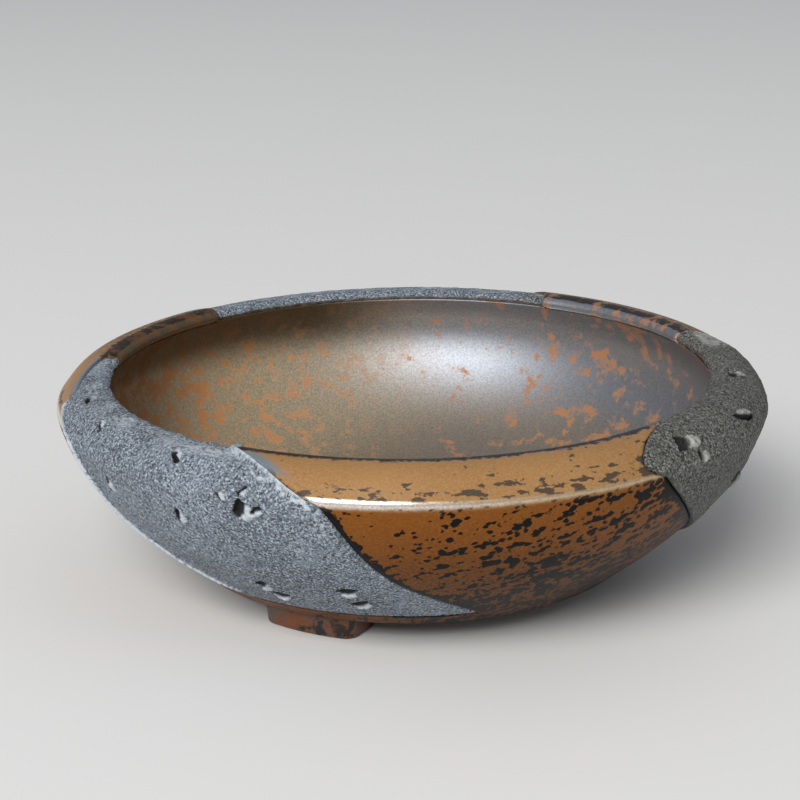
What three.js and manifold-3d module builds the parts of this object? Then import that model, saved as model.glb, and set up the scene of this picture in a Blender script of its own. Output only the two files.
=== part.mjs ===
// Round stoneware bonsai pot: a thrown bowl with rough clay slabs wrapped over its lip, on three block feet.
// Millimetres, +Z up. The origin is on the ground, under the middle of the bowl.
import * as THREE from "three";
import { mergeVertices } from "three/addons/utils/BufferGeometryUtils.js";
import Module from "manifold-3d";

const wasm = await Module();
wasm.setup();

// Bowl: overall sizes
const SHOULDER_RADIUS = 149.8; // widest ring of the glazed wall
const BODY_HEIGHT = 80.5; // underside of the base to the top of the lip
const SHOULDER_DROP = 13; // top of the lip down to the widest ring
const SHOULDER_ROUND = 4.8; // radius of the rounding between the rim band and the lower wall
const RIM_BAND_WIDTH = 16.8; // how far the mouth lies inside the widest ring
const BASE_RADIUS = 97; // edge of the flat underside
const BASE_CHAMFER = 1.5;

// Bowl: thicknesses
const LIP_THICKNESS = 6.5;
const LIP_ROUND = 4; // height of the rounding over the lip
const SHOULDER_THICKNESS = 16; // the thrown rim is rolled thick behind the shoulder
const WALL_THICKNESS = 8.5;
const FLOOR_THICKNESS = 8;

// Bowl: the two outside curves, as lengths of their handles and slopes under the horizontal, degrees
const BAND_FLAT = 9.8; // how far the rim band stays nearly flat behind the lip
const BAND_TOP_ANGLE = 3;
const BAND_RUN = 6.8; // how far it runs straight into the shoulder's rounding
const BAND_FOOT_ANGLE = 52;
const WALL_BELLY = 25; // how far the lower wall keeps its fullness under the shoulder
const WALL_TOP_ANGLE = 103;
const BASE_FLARE = 33; // length over which the wall leaves the base nearly straight
const BASE_FLARE_ANGLE = 37;

// Bowl: holes
const DRAIN_DIAMETER = 30;
const WIRE_HOLE_DIAMETER = 4.5; // tie-wire holes
const WIRE_HOLE_CIRCLE = 92; // diameter of the circle that they lie on
const WIRE_HOLE_COUNT = 4;

// Clay slabs
const SLAB_THICKNESS = 4; // bedded this deep in the wall
const SLAB_GAP = 0.4; // joint between a slab and its bed
const BED_OVERCUT = 2; // how far out past the glaze a bed is cut
const SLAB_LIP_WRAP = 2.6; // how far a slab comes down inside the lip
const LOW_LIP = 1.4; // the left slab's face lies this far below the glaze at the lip
const LOW_BACK_LIP = 1.1; // and the back slab's
const PROUD_LIP = 0.8; // the right slab's face stands this far above it
const PROUD_WALL = 0.3; // how far the left and back slabs' faces stand out of the glazed wall
const PROUD_RIGHT_WALL = 2.2; // and the right slab's
const TORN_EDGE = 0.9; // waviness of the torn edges
const TEAR_WAVE_ANGLE = 6; // radians that the swings of a tear turn through over one unit of reach
const TEAR_RIPPLE_ANGLE = 11; // and its finer ripples
const RIPPLE_SHARE = 0.5; // height of the ripples beside the swings
const SLAB_WALL_SHARE = 0.91; // how much of the lower wall's height a slab runs down

// Gouges pressed into the slabs: sizes of an ordinary one
const GOUGE_LENGTH = 8.5;
const GOUGE_WIDTH = 5.5;
const GOUGE_DEPTH = 1.9;

// Feet, with the azimuths that they stand at, degrees
const FEET = [
  { name: "foot_right", azimuth: 0 },
  { name: "foot_back_left", azimuth: 120 },
  { name: "foot_front_left", azimuth: 240 },
];
const FOOT_HEIGHT = 12;
const FOOT_INSET = 7.5; // edge of the base to the foot's outer face
const FOOT_LENGTH = 45;
const FOOT_DEPTH = 22;
const FOOT_CORNER = 4.5; // rounding of its upright corners
const FOOT_TAPER = 1.5; // each side draws in this much towards the ground
const FOOT_HEEL = 1.2; // small round at the ground
const FOOT_SEAT_GAP = 0.3; // joint between foot and base

// Shares of the wall curve, from the widest ring down to the base
const THICK_SHARE = 0.5; // where the thick shoulder has thinned to the wall's own thickness
const FLOOR_TURN_SHARE = 0.8; // where the inside begins to turn into the floor

// Facets
const BOWL_SEGMENTS = 64;
const BAND_STEPS = 6;
const ROUND_STEPS = 4;
const WALL_STEPS = 11;
const LIP_STEPS = 3;
const INNER_STEPS = 10;
const FLOOR_STEPS = 3;
const SLAB_COLUMN_ANGLE = 5.5; // degrees
const SLANT_SHARE = 0.06; // reach over which the slant of a torn edge is measured
const GOUGE_SIDES = 8;
const GOUGE_RINGS = 5;
const CORNER_STEPS = 3;
const FOOT_FACE_STEPS = 5;

// The slabs. A reach runs down the outside: 0 at the top of the lip, 1 at the widest ring, 2 at the base.
// first and last are the azimuths of a slab's two torn edges at the reaches in EDGE_REACHES, degrees.
// proud is how far its face stands out of the glaze at the lip and on the wall.
const EDGE_REACHES = [0, 0.35, 0.75, 1, 1.5, 2];
const SLABS = [
  {
    name: "stone_patch_left",
    first: [173, 191, 193.5, 203, 214, 236],
    last: [239.5, 246, 252.5, 256.3, 267, 288],
    proud: { lip: -LOW_LIP, wall: PROUD_WALL },
    gouges: [
      { azimuth: 198.5, reach: 0.25, size: 0.8, turn: 70 },
      { azimuth: 211.5, reach: 0.48, size: 0.8, turn: 20 },
      { azimuth: 231.5, reach: 0.42, size: 1, turn: 80 },
      { azimuth: 215.5, reach: 1.14, size: 1, turn: 30 },
      { azimuth: 233, reach: 1.19, size: 1.1, turn: 15 },
      { azimuth: 243.5, reach: 1.04, size: 1.3, turn: 85 },
      { azimuth: 242, reach: 1.66, size: 1.1, turn: 60 },
      { azimuth: 259.5, reach: 1.72, size: 1.3, turn: 70 },
    ],
  },
  {
    name: "stone_patch_right",
    first: [315, 309, 306.8, 309.3, 330, 358],
    last: [380, 371, 360, 346, 355, 380],
    proud: { lip: PROUD_LIP, wall: PROUD_RIGHT_WALL },
    gouges: [
      { azimuth: 350, reach: 0.2, size: 0.9, turn: 60 },
      { azimuth: 333, reach: 0.72, size: 1.2, turn: 90 },
      { azimuth: 315.5, reach: 0.62, size: 1.7, turn: 60 },
      { azimuth: 316.5, reach: 0.22, size: 0.9, turn: 75 },
      { azimuth: 335, reach: 1.2, size: 1.1, turn: 20 },
      { azimuth: 344, reach: 1.55, size: 1.2, turn: 75 },
    ],
  },
  {
    name: "stone_patch_back",
    first: [60, 64, 68, 72, 90, 114],
    last: [134, 138, 142, 146, 160, 182],
    proud: { lip: -LOW_BACK_LIP, wall: PROUD_WALL },
    gouges: [
      { azimuth: 80, reach: 0.6, size: 0.9, turn: 60 },
      { azimuth: 96, reach: 1.1, size: 1.1, turn: 20 },
      { azimuth: 118, reach: 0.7, size: 1, turn: 80 },
      { azimuth: 122, reach: 1.35, size: 1.2, turn: 35 },
      { azimuth: 139, reach: 1.1, size: 0.9, turn: 70 },
      { azimuth: 140, reach: 1.7, size: 1.2, turn: 65 },
    ],
  },
];

// Colours
const GLAZE = { color: "#9a5a24", roughness: 0.38, metalness: 0.1 };
const FOOT_GLAZE = { color: "#8a4d20", roughness: 0.42, metalness: 0.1 };
const STONE = { color: "#4d5158", roughness: 0.85, metalness: 0 };

// Levels and radii that follow from the sizes
const RIM_LEVEL = FOOT_HEIGHT + BODY_HEIGHT;
const SHOULDER_LEVEL = RIM_LEVEL - SHOULDER_DROP;
const FLOOR_LEVEL = FOOT_HEIGHT + FLOOR_THICKNESS;
const MOUTH_RADIUS = SHOULDER_RADIUS - RIM_BAND_WIDTH;
const DRAIN_RADIUS = DRAIN_DIAMETER / 2;

const point = (radius, level) => new THREE.Vector2(radius, level);
const steps = (count) => Array.from({ length: count + 1 }, (_, i) => i / count);

// A point of a section, turned to an azimuth round the pot.
function turned(sectionPoint, azimuth) {
  const angle = THREE.MathUtils.degToRad(azimuth);
  const { x: radius, y: level } = sectionPoint;
  return new THREE.Vector3(radius * Math.cos(angle), radius * Math.sin(angle), level);
}

// The way that a section heads at a slope of so many degrees under the horizontal.
function heading(slope) {
  const angle = THREE.MathUtils.degToRad(slope);
  return point(Math.cos(angle), -Math.sin(angle));
}

// The outside in (radius, level): the rim band, the shoulder's rounding in two arcs, and the lower wall.
const crest = point(MOUTH_RADIUS, RIM_LEVEL);
const baseEdge = point(BASE_RADIUS, FOOT_HEIGHT + BASE_CHAMFER);
const bandAngle = THREE.MathUtils.degToRad(90 - BAND_FOOT_ANGLE);
const wallAngle = THREE.MathUtils.degToRad(90 - WALL_TOP_ANGLE);
const roundCentre = point(SHOULDER_RADIUS - SHOULDER_ROUND, SHOULDER_LEVEL);
const upperRound = shoulderArc(bandAngle, 0);
const lowerRound = shoulderArc(0, wallAngle);
const bandCurve = new THREE.CubicBezierCurve(
  crest,
  crest.clone().addScaledVector(heading(BAND_TOP_ANGLE), BAND_FLAT),
  upperRound.getPoint(0).addScaledVector(heading(BAND_FOOT_ANGLE), -BAND_RUN),
  upperRound.getPoint(0),
);
const wallCurve = new THREE.CubicBezierCurve(
  lowerRound.getPoint(1),
  lowerRound.getPoint(1).addScaledVector(heading(WALL_TOP_ANGLE), WALL_BELLY),
  baseEdge.clone().addScaledVector(heading(-BASE_FLARE_ANGLE), BASE_FLARE),
  baseEdge,
);
const bandPath = new THREE.CurvePath();
bandPath.add(bandCurve);
bandPath.add(upperRound);
const wallPath = new THREE.CurvePath();
wallPath.add(lowerRound);
wallPath.add(wallCurve);

function shoulderArc(from, to) {
  const { x, y } = roundCentre;
  return new THREE.EllipseCurve(x, y, SHOULDER_ROUND, SHOULDER_ROUND, from, to, true);
}

// The reaches of the points along the outside, down to a share of the lower wall.
function outsideReaches(wallShare) {
  const roundFrom = bandCurve.getLength() / bandPath.getLength();
  return [
    ...steps(BAND_STEPS).map((share) => share * roundFrom),
    ...steps(ROUND_STEPS).slice(1).map((share) => THREE.MathUtils.lerp(roundFrom, 1, share)),
    ...steps(WALL_STEPS).slice(1).map((share) => 1 + share * wallShare),
  ];
}

// A point of a curve, moved outwards by an offset (inwards where it is negative).
function offsetPoint(curve, share, offset) {
  const tangent = curve.getTangent(share);
  return curve.getPoint(share).addScaledVector(point(-tangent.y, tangent.x), offset);
}

// A point of the outside at a reach, moved outwards by an offset.
function outside(reach, offset = 0) {
  return reach < 1 ? offsetPoint(bandPath, reach, offset) : offsetPoint(wallPath, reach - 1, offset);
}

// The lip's rounding, from its inner edge (0) to its top (1).
function lip(share, offset = 0) {
  const angle = (share * Math.PI) / 2;
  const across = LIP_THICKNESS * Math.cos(angle);
  const down = LIP_ROUND * (1 - Math.sin(angle));
  const outward = point(-Math.cos(angle), Math.sin(angle));
  return point(MOUTH_RADIUS - across, RIM_LEVEL - down).addScaledVector(outward, offset);
}

// The inside of the wall lies behind the outside by a thickness that falls from shoulder to wall.
function inside(share) {
  const fall = THREE.MathUtils.smoothstep(share, 0, THICK_SHARE);
  const thickness = THREE.MathUtils.lerp(SHOULDER_THICKNESS, WALL_THICKNESS, fall);
  return offsetPoint(wallCurve, share, -thickness);
}

// The turn from wall to floor is an arc-like curve, as long on the floor as on the wall.
function floorTurn() {
  const start = inside(FLOOR_TURN_SHARE);
  const tangent = wallCurve.getTangent(FLOOR_TURN_SHARE);
  const run = (FLOOR_LEVEL - start.y) / tangent.y;
  const corner = start.clone().addScaledVector(tangent, run);
  const end = point(corner.x - run, FLOOR_LEVEL);
  return new THREE.QuadraticBezierCurve(start, corner, end).getPoints(FLOOR_STEPS);
}

// A closed mesh from loops of equal length, laid one after another, with both end loops filled in.
// The loops run counter-clockwise as seen from the last one's side. A fill lists the triangles of an end.
function loft(loops, firstFill, lastFill = firstFill) {
  const size = loops[0].length;
  const index = [];
  for (let i = 0; i + 1 < loops.length; i++) {
    for (let j = 0; j < size; j++) {
      const a = i * size + j;
      const b = i * size + ((j + 1) % size);
      index.push(a, b, b + size, a, b + size, a + size);
    }
  }
  const last = (loops.length - 1) * size;
  for (const [a, b, c] of firstFill) {
    index.push(c, b, a);
  }
  for (const [a, b, c] of lastFill) {
    index.push(last + a, last + b, last + c);
  }
  const geometry = new THREE.BufferGeometry().setFromPoints(loops.flat());
  geometry.setIndex(index);
  return geometry;
}

// Fills a long narrow loop rung by rung, from its first point to the far end.
// The two sorts of bracing between the rungs keep a slab's twisted ends hollow rather than bulging.
function ladder(size, isFirst) {
  const fill = [[0, 1, size - 1]];
  for (let a = 1; a < (size - 1) / 2; a++) {
    const b = size - a;
    fill.push(...(isFirst ? [[a, a + 1, b], [a + 1, b - 1, b]] : [[a, a + 1, b - 1], [a, b - 1, b]]));
  }
  return fill;
}

// A three.js geometry as a solid for cutting.
function solid(geometry) {
  const plain = geometry.clone();
  plain.deleteAttribute("normal");
  plain.deleteAttribute("uv");
  const merged = mergeVertices(plain);
  const mesh = new wasm.Mesh({
    numProp: 3,
    vertProperties: merged.attributes.position.array,
    triVerts: new Uint32Array(merged.index.array),
  });
  return new wasm.Manifold(mesh);
}

// A cut solid as a three.js geometry again.
function geometryOf(cut) {
  const mesh = cut.getMesh();
  const geometry = new THREE.BufferGeometry();
  geometry.setAttribute("position", new THREE.BufferAttribute(mesh.vertProperties, 3));
  geometry.setIndex(new THREE.BufferAttribute(mesh.triVerts, 1));
  return geometry;
}

function part(name, geometry, look) {
  const mesh = new THREE.Mesh(geometry, new THREE.MeshStandardMaterial(look));
  mesh.name = name;
  return mesh;
}

// The bowl as thrown: one closed section turned round the axis.
function thrownBowl() {
  const section = [
    ...steps(LIP_STEPS).map((share) => lip(share)),
    ...outsideReaches(1).slice(1).map((reach) => outside(reach)),
    point(BASE_RADIUS - BASE_CHAMFER, FOOT_HEIGHT),
    point(DRAIN_RADIUS, FOOT_HEIGHT),
    point(DRAIN_RADIUS, FLOOR_LEVEL),
    ...floorTurn().reverse(),
    ...steps(INNER_STEPS).slice(1).map((share) => inside(FLOOR_TURN_SHARE * (1 - share))),
    lip(0),
  ];
  return new THREE.LatheGeometry(section.reverse(), BOWL_SEGMENTS).rotateX(Math.PI / 2);
}

// How far the face of a slab stands out of the glaze at a reach.
function faceHeight(slab, reach) {
  return THREE.MathUtils.lerp(slab.proud.lip, slab.proud.wall, Math.min(reach, 1));
}

// The section of a slab, or of the bed that is cut for it, with the reach of each of its points.
// It starts on the inner face of the lip, goes down behind the slab, and comes back up its face and
// over the lip.
function slabSection(slab, isBed) {
  const gap = isBed ? SLAB_GAP : 0;
  const wallShare = SLAB_WALL_SHARE + gap / wallPath.getLength();
  const innerFace = inside(0).sub(lip(0)).normalize();
  const wrapEnd = lip(0).addScaledVector(innerFace, SLAB_LIP_WRAP);
  const reaches = outsideReaches(wallShare);
  const stand = (reach) => (isBed ? BED_OVERCUT : faceHeight(slab, reach));
  const bed = reaches.map((reach) => outside(reach, -SLAB_THICKNESS - gap));
  const ledge = wrapEnd.clone().sub(bed[0]).normalize();
  wrapEnd.addScaledVector(ledge, isBed ? BED_OVERCUT : 0);
  wrapEnd.y -= gap;
  const lipStand = (share) => (isBed ? BED_OVERCUT : share * faceHeight(slab, 0));
  const over = steps(LIP_STEPS).slice(0, -1).map((share) => lip(share, lipStand(share)));
  const skin = reaches.map((reach) => outside(reach, stand(reach)));
  const under = over.map((_, i) => wrapEnd.clone().lerp(bed[0], (i + 1) / (over.length + 1)));
  const points = [wrapEnd, ...under, ...bed, ...skin.reverse(), ...over.reverse()];
  const atLip = over.map(() => 0);
  return { points, outline: [0, ...atLip, ...reaches, ...reaches.toReversed(), ...atLip] };
}

// The torn edge of a slab: its azimuth at a reach, with the waviness of torn clay.
function tornEdge(azimuths) {
  const sweep = new THREE.CubicInterpolant(EDGE_REACHES, azimuths, 1, new Float64Array(1));
  const phase = azimuths[0];
  return (reach) => {
    const swing = Math.sin(TEAR_WAVE_ANGLE * reach + phase);
    const ripple = RIPPLE_SHARE * Math.sin(TEAR_RIPPLE_ANGLE * reach + 2 * phase);
    const tear = THREE.MathUtils.radToDeg((TORN_EDGE * (swing + ripple)) / SHOULDER_RADIUS);
    return sweep.evaluate(reach)[0] + tear;
  };
}

// The angle that opens a joint of SLAB_GAP beside a torn edge, wider where the edge runs slantwise.
function jointAngle(edge, reach) {
  const at = (r) => turned(outside(r), edge(r));
  const above = Math.max(reach - SLANT_SHARE, 0);
  const below = Math.min(reach + SLANT_SHARE, 1 + SLAB_WALL_SHARE);
  const slants = [above, below].map((other) => {
    const fall = outside(other).distanceTo(outside(reach));
    return fall > 0 ? at(other).distanceTo(at(reach)) / fall : 1;
  });
  return THREE.MathUtils.radToDeg((SLAB_GAP * Math.max(...slants)) / outside(reach).x);
}

function slabSolid(slab, isBed) {
  const { points, outline } = slabSection(slab, isBed);
  const first = tornEdge(slab.first);
  const last = tornEdge(slab.last);
  const widest = Math.max(...slab.last.map((azimuth, i) => azimuth - slab.first[i]));
  const columns = Math.ceil(widest / SLAB_COLUMN_ANGLE);
  const spans = outline.map((reach) => {
    const from = first(reach) - (isBed ? jointAngle(first, reach) : 0);
    const to = last(reach) + (isBed ? jointAngle(last, reach) : 0);
    return [to, from];
  });
  const loops = steps(columns).map((share) =>
    points.map((sectionPoint, i) => turned(sectionPoint, THREE.MathUtils.lerp(...spans[i], share))),
  );
  return solid(loft(loops, ladder(points.length, true), ladder(points.length, false)));
}

// A gouge: an egg pressed into the face of a slab, turned on it by some degrees.
function gougeSolid(slab, gouge) {
  const stand = faceHeight(slab, gouge.reach);
  const centre = turned(outside(gouge.reach, stand), gouge.azimuth);
  const outward = turned(outside(gouge.reach, stand + 1), gouge.azimuth).sub(centre);
  const along = new THREE.Vector3(-centre.y, centre.x, 0).normalize();
  along.applyAxisAngle(outward, THREE.MathUtils.degToRad(gouge.turn));
  const across = new THREE.Vector3().crossVectors(outward, along);
  const half = gouge.size / 2;
  const size = new THREE.Vector3(GOUGE_LENGTH * half, GOUGE_WIDTH * half, GOUGE_DEPTH * gouge.size);
  const egg = new THREE.SphereGeometry(1, GOUGE_SIDES, GOUGE_RINGS);
  egg.scale(size.x, size.y, size.z);
  egg.applyMatrix4(new THREE.Matrix4().makeBasis(along, across, outward).setPosition(centre));
  return solid(egg);
}

// Holes for the tie wires, through the floor and a little past both its faces.
function wireHole(number) {
  const radius = WIRE_HOLE_DIAMETER / 2;
  const hole = new THREE.CylinderGeometry(radius, radius, 2 * FLOOR_THICKNESS, GOUGE_SIDES);
  hole.rotateX(Math.PI / 2);
  const azimuth = (360 * (number + 0.5)) / WIRE_HOLE_COUNT;
  const centre = turned(point(WIRE_HOLE_CIRCLE / 2, FOOT_HEIGHT + FLOOR_THICKNESS / 2), azimuth);
  return solid(hole.translate(centre.x, centre.y, centre.z));
}

// The outline of a foot, drawn in by an inset: its long faces follow circles round the pot's axis.
function footOutline(inset, azimuth) {
  const outer = BASE_RADIUS - FOOT_INSET - inset;
  const inner = BASE_RADIUS - FOOT_INSET - FOOT_DEPTH + inset;
  const half = FOOT_LENGTH / 2 - inset;
  const corner = FOOT_CORNER;
  const outline = [];
  const arc = (radius, fromHalf, toHalf) => {
    for (const share of steps(FOOT_FACE_STEPS)) {
      const side = THREE.MathUtils.lerp(fromHalf, toHalf, share);
      outline.push(point(Math.sqrt(radius * radius - side * side), side));
    }
  };
  const round = (x, y, startAngle) => {
    for (const share of steps(CORNER_STEPS).slice(1, -1)) {
      const angle = startAngle + (share * Math.PI) / 2;
      outline.push(point(x + corner * Math.cos(angle), y + corner * Math.sin(angle)));
    }
  };
  const outerCorner = Math.sqrt(outer * outer - (half - corner) ** 2) - corner;
  const innerCorner = Math.sqrt(inner * inner - (half - corner) ** 2) + corner;
  arc(outer, -half + corner, half - corner);
  round(outerCorner, half - corner, 0);
  outline.push(point(outerCorner, half), point(innerCorner, half));
  round(innerCorner, half - corner, Math.PI / 2);
  arc(inner, half - corner, -half + corner);
  round(innerCorner, -half + corner, Math.PI);
  outline.push(point(innerCorner, -half), point(outerCorner, -half));
  round(outerCorner, -half + corner, -Math.PI / 2);
  return outline.map((p) => p.rotateAround(point(0, 0), THREE.MathUtils.degToRad(azimuth)));
}

function foot(name, azimuth) {
  const top = FOOT_HEIGHT - FOOT_SEAT_GAP;
  const levels = [
    { level: 0, inset: FOOT_TAPER + FOOT_HEEL },
    { level: FOOT_HEEL, inset: FOOT_TAPER },
    { level: top, inset: 0 },
  ];
  const loops = levels.map(({ level, inset }) =>
    footOutline(inset, azimuth).map((p) => new THREE.Vector3(p.x, p.y, level)),
  );
  const fill = THREE.ShapeUtils.triangulateShape(footOutline(0, azimuth), []);
  return part(name, loft(loops, fill), FOOT_GLAZE);
}

const pot = new THREE.Group();

let bowl = solid(thrownBowl());
for (const slab of SLABS) {
  bowl = bowl.subtract(slabSolid(slab, true));
}
for (let i = 0; i < WIRE_HOLE_COUNT; i++) {
  bowl = bowl.subtract(wireHole(i));
}
pot.add(part("bowl_body", geometryOf(bowl), GLAZE));

for (const slab of SLABS) {
  let clay = slabSolid(slab, false);
  for (const gouge of slab.gouges) {
    clay = clay.subtract(gougeSolid(slab, gouge));
  }
  pot.add(part(slab.name, geometryOf(clay), STONE));
}

for (const { name, azimuth } of FEET) {
  pot.add(foot(name, azimuth));
}

export default pot;
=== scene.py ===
# Round stoneware bonsai pot: the finish and fine surface of every piece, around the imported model.
# Metres, +Z up, +X to the right of the photograph and -Y towards its camera.
import math

import bmesh
import bpy
import numpy as np
from mathutils import Matrix, Vector, noise
from mathutils.geometry import interpolate_bezier


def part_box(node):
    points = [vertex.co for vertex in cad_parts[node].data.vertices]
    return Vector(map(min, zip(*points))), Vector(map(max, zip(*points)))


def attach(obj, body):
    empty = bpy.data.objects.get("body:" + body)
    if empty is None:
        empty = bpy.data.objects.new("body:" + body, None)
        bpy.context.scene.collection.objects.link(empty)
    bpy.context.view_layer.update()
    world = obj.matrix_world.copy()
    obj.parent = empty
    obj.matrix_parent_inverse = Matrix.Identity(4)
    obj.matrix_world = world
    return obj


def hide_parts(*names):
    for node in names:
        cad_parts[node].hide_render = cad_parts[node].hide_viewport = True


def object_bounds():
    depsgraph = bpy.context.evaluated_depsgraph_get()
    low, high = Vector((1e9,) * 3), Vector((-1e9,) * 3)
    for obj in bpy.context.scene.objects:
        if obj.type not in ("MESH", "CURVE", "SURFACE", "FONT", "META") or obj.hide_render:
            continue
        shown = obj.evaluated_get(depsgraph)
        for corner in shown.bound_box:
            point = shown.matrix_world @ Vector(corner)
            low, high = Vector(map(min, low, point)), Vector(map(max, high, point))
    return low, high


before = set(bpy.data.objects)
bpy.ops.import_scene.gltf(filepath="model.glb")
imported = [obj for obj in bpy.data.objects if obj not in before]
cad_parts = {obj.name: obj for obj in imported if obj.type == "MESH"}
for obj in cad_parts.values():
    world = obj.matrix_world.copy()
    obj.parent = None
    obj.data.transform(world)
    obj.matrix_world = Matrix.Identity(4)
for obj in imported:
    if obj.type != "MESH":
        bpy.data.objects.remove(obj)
cad_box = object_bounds()


# The camera
# It looks down on the pot from the front, as the photograph does, with a long lens that keeps the
# ellipse of the mouth flat.
CAMERA_DISTANCE = 0.9
CAMERA_ELEVATION = math.radians(16.99)
CAMERA_ROLL = math.radians(-0.67)
CAMERA_TARGET = Vector((-0.00439, 0, 0.075))
LENS = 94.36
SENSOR = 36

camera_data = bpy.data.cameras.new("camera")
camera_data.lens = LENS
camera_data.sensor_width = SENSOR
camera = bpy.data.objects.new("camera", camera_data)
bpy.context.scene.collection.objects.link(camera)
tilt = Matrix.Rotation(math.pi / 2 - CAMERA_ELEVATION, 4, "X") @ Matrix.Rotation(CAMERA_ROLL, 4, "Z")
back_off = tilt.to_3x3() @ Vector((0, 0, CAMERA_DISTANCE))
camera.matrix_world = Matrix.Translation(CAMERA_TARGET + back_off) @ tilt
bpy.context.scene.camera = camera


# The thrown bowl
# A low bowl thrown on the wheel, with a sloping rim band, a tight round shoulder and a wall that draws
# in to a flat base. It is glazed amber outside and metallic bronze inside, and beds are cut in its
# outside for three clay slabs.
bowl_low, bowl_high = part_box("bowl_body")
RIM_LEVEL = bowl_high.z
BASE_LEVEL = bowl_low.z
SHOULDER_RADIUS = -bowl_low.y
SHOULDER_LEVEL = RIM_LEVEL - 0.013
SHOULDER_ROUND = 0.0048
MOUTH_RADIUS = SHOULDER_RADIUS - 0.0168
LIP_WIDTH = 0.0065
LIP_HEIGHT = 0.004
BASE_RADIUS = 0.097
BASE_CHAMFER = 0.0015
DRAIN_RADIUS = 0.015
FLOOR_LEVEL = BASE_LEVEL + 0.008
WAIST = Vector((0.1328, 0.074))
FLOOR_TURN_RADIUS = 0.076
WIRE_HOLE_RADIUS = 0.00225
WIRE_HOLE_CIRCLE = 0.046
WIRE_HOLE_AZIMUTHS = [45, 135, 225, 315]
CURVE_POINTS = 200
COLUMNS = 480
WEDGES = 20
SEAM = 0.00001


def heading(slope):
    """The way that a section heads at a slope of so many degrees under the horizontal."""
    angle = math.radians(slope)
    return Vector((math.cos(angle), -math.sin(angle)))


def bend(start, end, slopes, pulls):
    """A curve in (radius, level) between two points, by its slope at each and how far that pulls it."""
    handle = start + heading(slopes[0]) * pulls[0]
    end_handle = end - heading(slopes[1]) * pulls[1]
    return interpolate_bezier(start, handle, end_handle, end, CURVE_POINTS)


def shoulder_arc(slope, end_slope):
    """The shoulder's rounding, from one slope to the other."""
    centre = Vector((SHOULDER_RADIUS - SHOULDER_ROUND, SHOULDER_LEVEL))
    slopes = np.radians(np.linspace(slope, end_slope, CURVE_POINTS // 4))
    return [centre + SHOULDER_ROUND * Vector((math.sin(s), math.cos(s))) for s in slopes]


def lip_point(share):
    """The lip's rounding, from its inner edge (0) to its top (1)."""
    angle = share * math.pi / 2
    across = LIP_WIDTH * math.cos(angle)
    return Vector((MOUTH_RADIUS - across, RIM_LEVEL - LIP_HEIGHT * (1 - math.sin(angle))))


# A reach runs down the outside: -1 at the lip's inner edge, 0 at its top, 1 at the widest ring and
# 2 at the base. A slab wraps over the lip to WRAP_END, on the lip's inner face.
WRAP_END = -1.4
WRAP_LENGTH = 0.0026
BAND_SLOPES = (3, 52)
BAND_PULLS = (0.0098, 0.0068)
WALL_SLOPES = (103, 143)
WALL_PULLS = (0.025, 0.033)
LIP_FACE_SLOPES = (60, 86)
LIP_FACE_PULLS = (0.005, 0.006)
upper_arc = shoulder_arc(BAND_SLOPES[1], 90)
lower_arc = shoulder_arc(90, WALL_SLOPES[0])
base_edge = Vector((BASE_RADIUS, BASE_LEVEL + BASE_CHAMFER))
band = bend(Vector((MOUTH_RADIUS, RIM_LEVEL)), upper_arc[0], BAND_SLOPES, BAND_PULLS)
wall = bend(lower_arc[-1], base_edge, WALL_SLOPES, WALL_PULLS)
lip_curve = [lip_point(i / 40) for i in range(41)]
lip_face = bend(lip_point(0), WAIST, LIP_FACE_SLOPES, LIP_FACE_PULLS)
wrap_end = lip_point(0) + (lip_face[CURVE_POINTS // 6] - lip_point(0)).normalized() * WRAP_LENGTH


def paced(curve, first_reach, last_reach):
    """Rows of (reach, radius, level) along a curve, with the reach paced by length."""
    points = np.array([tuple(p) for p in curve])
    lengths = np.hypot(*np.diff(points, axis=0).T)
    shares = np.concatenate([[0], np.cumsum(lengths)]) / lengths.sum()
    reaches = first_reach + (last_reach - first_reach) * shares
    return np.column_stack([reaches, points])


stretches = [
    paced([wrap_end, lip_point(0)], WRAP_END, -1),
    paced(lip_curve, -1, 0)[1:],
    paced(band + upper_arc[1:], 0, 1)[1:],
    paced(lower_arc + wall[1:], 1, 2)[1:],
]
outside_rows = np.vstack(stretches)
outside_reach, outside_radius, outside_level = outside_rows.T
step_radius = np.gradient(outside_radius)
step_level = np.gradient(outside_level)
step_length = np.hypot(step_radius, step_level)


def outside(reach, stand=0.0):
    """Radius and level of the outside at a reach, so far out of it."""
    radius = np.interp(reach, outside_reach, outside_radius)
    level = np.interp(reach, outside_reach, outside_level)
    out_radius = np.interp(reach, outside_reach, -step_level / step_length)
    out_level = np.interp(reach, outside_reach, step_radius / step_length)
    return radius + stand * out_radius, level + stand * out_level


# Where the slabs lie: the azimuths of each one's two torn edges, in degrees, at EDGE_REACHES.
EDGE_REACHES = [0, 0.35, 0.75, 1, 1.5, 2]
SLAB_EDGES = {
    "stone_patch_back": ([60, 64, 68, 72, 90, 114], [134, 138, 142, 146, 160, 182]),
    "stone_patch_left": ([173, 191, 193.5, 203, 214, 236], [239.5, 246, 252.5, 256.3, 267, 288]),
    "stone_patch_right": ([315, 309, 306.8, 309.3, 330, 358], [380, 371, 360, 346, 355, 380]),
}
SLAB_FOOT = 1.91
BED_DEPTH = 0.0042
TORN_EDGE = 0.0009
FRAY = 0.0004


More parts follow.
